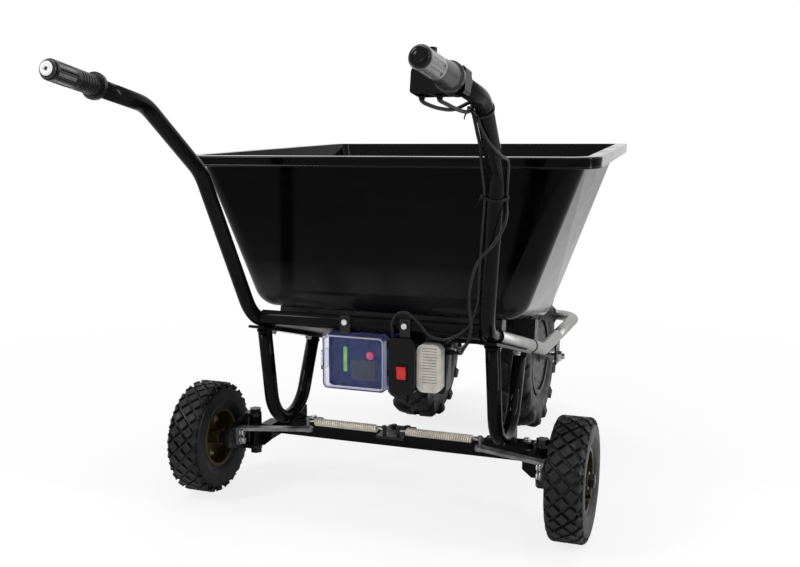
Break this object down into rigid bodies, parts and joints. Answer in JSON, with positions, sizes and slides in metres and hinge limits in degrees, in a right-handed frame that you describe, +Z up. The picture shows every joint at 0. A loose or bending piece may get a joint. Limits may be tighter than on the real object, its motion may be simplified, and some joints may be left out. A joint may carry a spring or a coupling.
{
  "type": "battery site barrow",
  "caption": "Battery barrow with a deep black tub on a tube frame, driven front wheels, trailing sprung rear casters, a twist throttle and a slung battery with its controller.",
  "frame": {"origin": "on the ground, midway between the grip caps and the front of the hoop, on the middle line", "axes": "+X to the operator's right, +Y forward to the hoop, +Z up"},
  "size_m": [0.9042, 1.5753, 0.9009],
  "materials": {
    "frame_black": "gloss",
    "frame_dark": "satin",
    "caster_dark": "satin",
    "galvanised": "satin",
    "zinc": "bright",
    "arm_grey": "satin",
    "tub_black": "gloss",
    "case_navy": "gloss",
    "level_green": "gloss",
    "button_red": "gloss",
    "clear_cover": "clear",
    "finned_beige": "satin",
    "plastic_black": "satin",
    "thumb_black": "satin",
    "lead_black": "satin",
    "grip_rubber": "satin",
    "spring_tan": "satin",
    "tyre_black": "matt",
    "rim_gold": "satin",
    "hub_black": "satin"
  },
  "bodies": {
    "frame": {"handle_left": "frame_black", "handle_right": "frame_black", "rear_cross_tube": "frame_black", "leg_left": "frame_black", "leg_right": "frame_black", "rear_beam": "frame_dark", "spring_anchor": "frame_dark", "bearer_rear": "frame_dark", "bearer_front": "frame_dark", "carrier_left": "frame_dark", "carrier_right": "frame_dark", "dropout_left": "frame_dark", "dropout_right": "frame_dark", "hangers": "frame_dark", "rail_left": "galvanised", "rail_right": "galvanised", "front_hoop": "galvanised", "frame_bolts": "zinc", "axle_left": "zinc", "axle_right": "zinc", "grip_caps": "zinc", "tub": "tub_black", "battery_case": "case_navy", "battery_pack": "case_navy", "level_bar": "level_green", "controller_body": "finned_beige", "controller_housing": "plastic_black", "switch_bezel": "plastic_black", "control_box": "plastic_black", "lead_ties": "plastic_black", "throttle_lead": "lead_black", "second_lead": "lead_black", "motor_leads": "lead_black", "grip_left": "grip_rubber", "grip_right": "grip_rubber", "return_spring_left": "spring_tan", "return_spring_right": "spring_tan"},
    "caster_left": {"knuckle_left": "caster_dark", "spring_arm_left": "arm_grey"},
    "rear_wheel_left": {"rear_tyre_left": "tyre_black", "rear_rim_left": "rim_gold"},
    "front_wheel_left": {"front_tyre_left": "tyre_black", "front_hub_left": "hub_black"},
    "caster_right": {"knuckle_right": "caster_dark", "spring_arm_right": "arm_grey"},
    "rear_wheel_right": {"rear_tyre_right": "tyre_black", "rear_rim_right": "rim_gold"},
    "front_wheel_right": {"front_tyre_right": "tyre_black", "front_hub_right": "hub_black"},
    "throttle": {"throttle_sleeve": "grip_rubber"},
    "thumb": {"thumb_button": "thumb_black"},
    "rocker": {"power_rocker": "button_red"},
    "lid": {"battery_lid": "clear_cover"},
    "latch": {"lid_latch": "clear_cover"},
    "level": {"level_button": "button_red"}
  },
  "joints": [
    {"name": "caster_swivel_left", "type": "hinge", "parent": "frame", "child": "caster_left", "pos_m": [-0.333, -0.10044, 0.123], "axis": [0, 0, 1], "range_deg": [-14, 14], "stiffness_Nm_per_rad": 14, "deforming": ["return_spring_left"]},
    {"name": "rear_wheel_spin_left", "type": "hinge", "parent": "caster_left", "child": "rear_wheel_left", "pos_m": [-0.409, -0.17544, 0.123], "axis": [1, 0, 0], "continuous": true},
    {"name": "front_wheel_spin_left", "type": "hinge", "parent": "frame", "child": "front_wheel_left", "pos_m": [-0.145, 0.56256, 0.2], "axis": [1, 0, 0], "continuous": true},
    {"name": "caster_swivel_right", "type": "hinge", "parent": "frame", "child": "caster_right", "pos_m": [0.333, -0.10044, 0.123], "axis": [0, 0, 1], "range_deg": [-14, 14], "stiffness_Nm_per_rad": 14, "deforming": ["return_spring_right"]},
    {"name": "rear_wheel_spin_right", "type": "hinge", "parent": "caster_right", "child": "rear_wheel_right", "pos_m": [0.409, -0.17544, 0.123], "axis": [1, 0, 0], "continuous": true},
    {"name": "front_wheel_spin_right", "type": "hinge", "parent": "frame", "child": "front_wheel_right", "pos_m": [0.145, 0.56256, 0.2], "axis": [1, 0, 0], "continuous": true},
    {"name": "throttle_twist", "type": "hinge", "parent": "frame", "child": "throttle", "pos_m": [0.296, -0.77744, 0.884], "axis": [0.0493, 0.986, -0.1593], "range_deg": [0, 60], "stiffness_Nm_per_rad": 0.5},
    {"name": "thumb_press", "type": "slide", "parent": "frame", "child": "thumb", "axis": [-0.008, -0.1591, -0.9872], "range_m": [0, 0.002], "stiffness_N_per_m": 600},
    {"name": "power_rocker_tilt", "type": "hinge", "parent": "frame", "child": "rocker", "pos_m": [0.082, -0.26144, 0.328], "axis": [1, 0, 0], "range_deg": [-12, 0]},
    {"name": "lid_hinge", "type": "hinge", "parent": "frame", "child": "lid", "pos_m": [0.051, -0.25564, 0.339], "axis": [0, 0, 1], "range_deg": [0, 90]},
    {"name": "lid_latch_turn", "type": "hinge", "parent": "lid", "child": "latch", "pos_m": [-0.0922, -0.25264, 0.339], "axis": [0, 0, 1], "range_deg": [0, 70]},
    {"name": "level_press", "type": "slide", "parent": "frame", "child": "level", "axis": [0, 1, 0], "range_m": [0, 0.002], "stiffness_N_per_m": 400}
  ]
}
